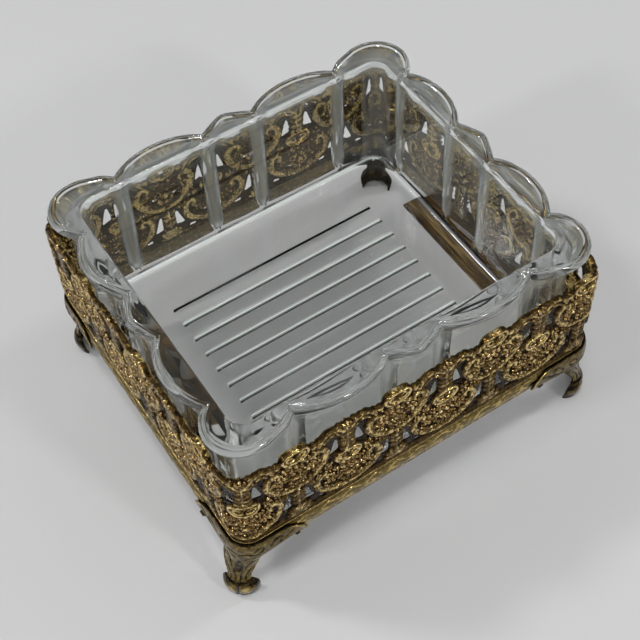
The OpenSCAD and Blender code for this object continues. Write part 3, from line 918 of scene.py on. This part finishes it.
build_foot("stamped_foot_front_left", -1, -1, -1, -1, "foot_front_left")
build_foot("stamped_foot_front_right", 1, -1, 1, -1, "foot_front_right")
build_foot("stamped_foot_back_right", 1, 1, 0, 0.6, "foot_back_right")
build_foot("stamped_foot_back_left", -1, 1, 0, 0.6, "foot_back_left")

# %% [markdown]
# ## The ledges
# The two angle strips under the dish are plain, so their solids stay and only
# get the dull brown finish of brass that nobody polishes.

# %% The ledges
for node in ("ledge_left", "ledge_right"):
    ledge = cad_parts[node]
    ledge.data.materials.clear()
    ledge.data.materials.append(ledge_brass)
    print(node, "finished in", ledge_brass.name)

# %% [markdown]
# ## The glass dish
# The dish is one closed skin. Its outline is a rounded rectangle that swells
# into lobes. Every ring of the skin follows the same rays out from the well, so
# the rings are extruded one from the next and only their reach and height
# change. First come the rays and the reach of the scalloped flange on each.

# %% Rays and the scalloped outline
flange_reach, lobe_swell, flange_r = 3.8, 4.2, 10.0
wall_t, panel_swell, flange_t = 2.6, 1.8, 3.6
mid_lobe, corner_l, corner_w = 8.2, 14.0, 10.0
notch_x = [mid_lobe, well_l / 2 - corner_l]
notch_y = [mid_lobe, well_w / 2 - corner_w]


def arc_points(a, b, sag, count):
    """An arc from a to b that swells to the right of its direction"""
    a, b = np.array(a, float), np.array(b, float)
    chord = np.linalg.norm(b - a)
    along = (b - a) / chord
    out = np.array([along[1], -along[0]])
    r = (chord**2 / 4 + sag**2) / (2 * sag)
    centre = (a + b) / 2 - out * (r - sag)
    spread = math.asin(chord / (2 * r))
    t = spread * (2 * np.arange(count) / count - 1)
    return centre + r * (np.cos(t)[:, None] * out + np.sin(t)[:, None] * along)


def outline_quarter(reach, swell, r):
    """The scalloped outline from the middle of the right side to the middle of the back"""
    nx, ny = well_l / 2 + reach, well_w / 2 + reach
    side, end = (nx, notch_y[1]), (notch_x[1], ny)
    a, b = (nx + swell, ny + swell - r), (nx + swell - r, ny + swell)
    t = np.linspace(0, mid_lobe, 25)
    peak = swell * -np.log(np.exp(-20 * (mid_lobe - t) / 9.8) + math.exp(-20 * 0.76)) / 20
    mid = np.column_stack([nx + peak, t])[:-1]
    mid_end = np.column_stack([t, ny + peak])[::-1]
    return np.vstack([
        mid,
        arc_points((nx, mid_lobe), side, swell, 30),
        arc_points(side, a, swell * 0.24, 16),
        arc_points(a, b, r * (1 - math.cos(math.pi / 4)), 24),
        arc_points(b, end, swell * 0.28, 16),
        arc_points(end, (mid_lobe, ny), swell, 30),
        mid_end,
    ])


# how far from a notch its rays stand
NOTCH_RAYS = [
    -3.6, -3.1, -2.75, -2.4, -2, -1.6, -1.2, -0.8, -0.4, -0.15,
    0, 0.15, 0.4, 0.8, 1.2, 1.6, 2, 2.4, 2.75, 3.1, 3.6,
]


def ray_places(first, second, end):
    """Places of the rays along half a side whose notches are at first and second"""
    between = list(np.arange(first + 4.6, second - 4.2, 1.15))
    places = [0, 1.2, 2.4, 3.6] + [first + c for c in NOTCH_RAYS] + between
    places += [second + c for c in NOTCH_RAYS]
    return sorted(p for p in places if p < end - 0.3)


def ray_set():
    """Foot and direction of each ray of one quarter, closer together at the notches"""
    rays = [((well_l / 2, y), (1, 0)) for y in ray_places(*notch_y, well_w / 2 - well_r)]
    for a in np.radians(np.linspace(0, 90, 19)):
        way = (math.cos(a), math.sin(a))
        rays.append(((well_l / 2 - well_r + well_r * way[0], well_w / 2 - well_r + well_r * way[1]), way))
    rays += [((x, well_w / 2), (0, 1)) for x in ray_places(*notch_x, well_l / 2 - well_r)[::-1]]
    return np.array([foot for foot, _ in rays]), np.array([way for _, way in rays])


def reach_along(foot, way, line):
    """How far the outline is from the foot of a ray"""
    a, b = line[:-1] - foot, line[1:] - foot
    side_a, side_b = way[0] * a[:, 1] - way[1] * a[:, 0], way[0] * b[:, 1] - way[1] * b[:, 0]
    hit = (side_a <= 1e-9) & (side_b >= -1e-9) & (side_b - side_a > 1e-12)
    t = -side_a[hit] / (side_b[hit] - side_a[hit])
    far = (a[hit] + t[:, None] * (b[hit] - a[hit])) @ way
    return far[far > 0].max()


def all_round(values):
    """Values of one quarter carried round the other three"""
    values = np.asarray(values)
    return np.concatenate([values, values[-2::-1], values[1:], values[-2:0:-1]])


quarter_feet, quarter_ways = ray_set()


def reach_round(reach, swell, r):
    line = outline_quarter(reach, swell, r)
    line = np.vstack([line[:1] * [1, -1] - [0, 0.5], line, line[-1:] * [-1, 1] - [0.5, 0]])
    return all_round([reach_along(f, w, line) for f, w in zip(quarter_feet, quarter_ways)])


def plan_round(points):
    """A quarter's plan points mirrored round, anticlockwise from the right side's middle"""
    p = np.asarray(points)
    return np.concatenate([p, p[-2::-1] * [-1, 1], p[1:] * [-1, -1], p[-2:0:-1] * [1, -1]])


ray_feet, ray_ways = plan_round(quarter_feet), plan_round(quarter_ways)
flange_out = reach_round(flange_reach, lobe_swell, flange_r)
wall_out = reach_round(wall_t, panel_swell, flange_r - 1)
lobe_share = np.clip((flange_out - flange_reach) / (lobe_swell * 0.8), 0, 1)
print("rays", len(ray_feet), "reach", round(flange_out.min(), 2), "to", round(flange_out.max(), 2))

# %% [markdown]
# The flutes are the pale upright grooves that face each notch. They are pressed
# into the outside of the wall, about five millimetres wide at the top and
# narrower below, and end in a round tip just above the floor.

# %% Flutes


def flute_depth(share_up):
    """How deep the flutes cut at a height, 0 at the floor and 1 under the flange"""
    wide = 2.75 * (0.78 + 0.22 * share_up) * math.sqrt(min(1, max(0.001, (share_up - 0.03) / 0.1)))
    depth = np.zeros(len(ray_feet))
    for index, (foot, way) in enumerate(zip(ray_feet, ray_ways)):
        if abs(way[0]) > 0.999:
            along, marks = abs(foot[1]), notch_y
        elif abs(way[1]) > 0.999:
            along, marks = abs(foot[0]), notch_x
        else:
            continue
        for mark in marks:
            depth[index] = max(depth[index], 1 - ((along - mark) / wide) ** 2)
    return depth * min(1, max(0, share_up - 0.03) * 10) ** 0.5


print("deepest flute", flute_depth(1.0).max())

# %% [markdown]
# The skin's rings, from the edge of the floor up the inside of the wall, over
# the flange, and down the outside to the foot. The flange's top dips at each
# notch, which gives the bright creases there, and two fine ridges follow its
# edge. Its underside keeps the matt skin that the mould gave it.

# %% The rings of the dish
# the flange's edge as (distance in from the outline, distance below the rim)
RIM_LINE = [
    (2.3, 0.5), (2.05, 0.32), (1.8, 0.2), (1.5, 0.3), (1.2, 0.26), (0.95, 0.08), (0.65, 0.0),
    (0.35, 0.25), (0.12, 0.7), (0.0, 1.3), (0.08, 1.9), (0.35, 2.5), (0.8, 3.0), (1.4, 3.35),
]
# heights of the outside rings, as shares of the wall from its foot to the flange
WALL_SHARES = (1.0, 0.92, 0.84, 0.76, 0.66, 0.55, 0.42, 0.32, 0.26, 0.22, 0.19, 0.16, 0.13, 0.1, 0.05, 0.0)
cove_r, dish_foot_r, top_in = 2.2, 1.4, 0.28
flute_frost, corner_frost, under_frost, high_frost = 0.62, 0.28, 0.48, 0.5


def ring_list():
    """(reach, height, smoke, frost) on each ray for every ring"""
    same = np.ones(len(ray_feet))
    rings = []

    def add(reach, height, tint_and_shade=0.0, frost_and_highlight=0.0):
        rings.append([same * value for value in (reach, height, tint_and_shade, frost_and_highlight)])

    # the floor's edge, the cove with a painted highlight line, strongest at the
    # back, and the inside of the wall
    add(-3.0, floor_z)
    # painted highlight: a pale line on the middle of the cove, stronger at the back
    cove_highlight = 0.3 + 0.65 * (ray_ways[:, 1] > 0.5)
    for k, a in enumerate(np.radians(np.linspace(0, 90, 9))):
        highlight_here = cove_highlight if k in (3, 4) else 0
        add(-cove_r * (1 - math.sin(a)), floor_z + cove_r * (1 - math.cos(a)), frost_and_highlight=highlight_here)
    for share in np.linspace(0.12, 0.96, 10):
        add(0.0, floor_z + 3 + (rim_z - floor_z - 3) * share)
    # the flat top of the flange and its ridged edge
    for step, drop in ((0.05, 0.75), (0.18, 0.48), (0.4, 0.32), (0.7, top_in)):
        add(step, rim_z - drop)
    dip = 0.5 * (1 - lobe_share) ** 2
    # the flange top and its ridged edge are tinted grey, partly the thick glass's own tint and partly
    # painted shade
    for share in (0.3, 0.6, 0.9):
        add(0.9 + (flange_out - 3.4) * share, rim_z - top_in - dip * share * 0.5, tint_and_shade=0.16)
    for inset, drop in RIM_LINE:
        add(flange_out - inset, rim_z - drop - dip * (1 - inset / 3.5), tint_and_shade=0.12)
    # the underside, as it came from the mould
    panel = wall_t + 1.0 + 0.3 * (wall_out - wall_t)
    inner = np.minimum(flange_out - 1.9, panel + 0.3)
    # the underside's faint grey is partly the glass's tint and partly painted shade
    for share in (0.2, 0.4, 0.6, 0.8, 1.0):
        bulge = rim_z - 3.4 - 1.2 * lobe_share * math.sin(math.pi / 2 * share) - 0.2 * share
        add((flange_out - 1.6) * (1 - share) + inner * share, bulge, tint_and_shade=0.08, frost_and_highlight=under_frost)
    # the outside of the wall with its flutes, and the rounded foot
    low, high = ledge_z + 1.6, rim_z - flange_t - 1.9
    at_corner = corner_frost * (np.abs(ray_ways).min(axis=1) > 0.05)
    for up_share in WALL_SHARES:
        z = low + (high - low) * up_share
        flute = flute_depth(max(0.0, (up_share - 0.08) / 0.92))
        milky = high_frost * min(1, max(0, (z - 60.5) / 2))
        frosts = np.maximum.reduce([flute_frost * np.sqrt(flute), milky * same, at_corner])
        add(panel - (2.3 - 1.4 * up_share) * flute, z, frost_and_highlight=frosts)
    for a in np.radians(np.linspace(20, 90, 5)):
        add(panel - dish_foot_r * (1 - math.cos(a)), ledge_z + dish_foot_r * (1 - math.sin(a)))
    add(panel - 2.4, ledge_z)
    return rings


def build_dish():
    """The dish's skin, ring by ring, closed by its underside and by the floor with its bars"""
    bm = bmesh.new()
    rings = ring_list()
    pale, grey = bm.verts.layers.float.new("frost_and_highlight"), bm.verts.layers.float.new("tint_and_shade")
    loop = None
    for out, z, tinted_and_shaded, frosted_and_lit in rings:
        xy = ray_feet + ray_ways * out[:, None]
        if loop is None:
            verts = [bm.verts.new((x, y, h)) for (x, y), h in zip(xy, z)]
            edges = [bm.edges.new((a, b)) for a, b in zip(verts, verts[1:] + verts[:1])]
            first = list(edges)
        else:
            made = bmesh.ops.extrude_edge_only(bm, edges=edges)["geom"]
            edges = [g for g in made if isinstance(g, bmesh.types.BMEdge)]
            verts_new = [g for g in made if isinstance(g, bmesh.types.BMVert)]
            paired = {}
            for v in verts_new:
                for e in v.link_edges:
                    other = e.other_vert(v)
                    if other in loop:
                        paired[loop[other]] = v
            verts = [paired[k] for k in range(len(xy))]
            for v, (x, y), h, g, f in zip(verts, xy, z, tinted_and_shaded, frosted_and_lit):
                v.co = (x, y, h)
                v[grey], v[pale] = g, f
            edges = [bm.edges.get((a, b)) for a, b in zip(verts, verts[1:] + verts[:1])]
        loop = {v: k for k, v in enumerate(verts)}
    bmesh.ops.edgenet_fill(bm, edges=edges)
    # the raised bars, a grid whose ends slope down like a hipped roof, with painted
    # shade along one foot of each bar and a painted highlight line along the other
    bars, bar_pitch, bar_l, bar_h = 8, 6.3, 69.0, 0.5
    ys = [-bars * bar_pitch / 2 - 0.6]
    for k in range(bars):
        mid = (k - (bars - 1) / 2) * bar_pitch
        ys += [mid - 2.8, mid - 2.3, mid + 1.95, mid + 2.6]
    ys += [bars * bar_pitch / 2 + 0.6]
    xs = [-bar_l / 2 - 0.6, -bar_l / 2, -bar_l / 2 + 1.1, bar_l / 2 - 1.1, bar_l / 2, bar_l / 2 + 0.6]
    made = bmesh.ops.create_grid(bm, x_segments=len(xs) - 1, y_segments=len(ys) - 1, size=1.0)["verts"]
    for v in made:
        i = round((v.co.x + 1) / 2 * (len(xs) - 1))
        j = round((v.co.y + 1) / 2 * (len(ys) - 1))
        top = 1 < i < len(xs) - 2 and j % 4 in (2, 3)
        v.co = (xs[i], ys[j], floor_z + (bar_h if top else 0))
        bar_foot = 0 < i < len(xs) - 1 and 0 < j < len(ys) - 1 and not top
        # painted shade: a faint grey on the bar tops, and black along one foot of each bar
        v[grey] = 0.12 if top else (1.0 if bar_foot and j % 4 == 0 else 0)
        # painted highlight: a pale line along the other foot of each bar
        v[pale] = 1.0 if bar_foot and j % 4 == 1 else 0
    # a dictionary drops the repeats and, unlike a set, gives the same order in every run
    rim = list(dict.fromkeys(e for v in made for e in v.link_edges if e.is_boundary))
    bmesh.ops.triangle_fill(bm, use_beauty=True, use_dissolve=False, edges=rim + first)
    bmesh.ops.recalc_face_normals(bm, faces=bm.faces)
    return finish_piece("scalloped_dish", bm, glass, "dish", ("glass_dish",), sharp=32)


build_dish()
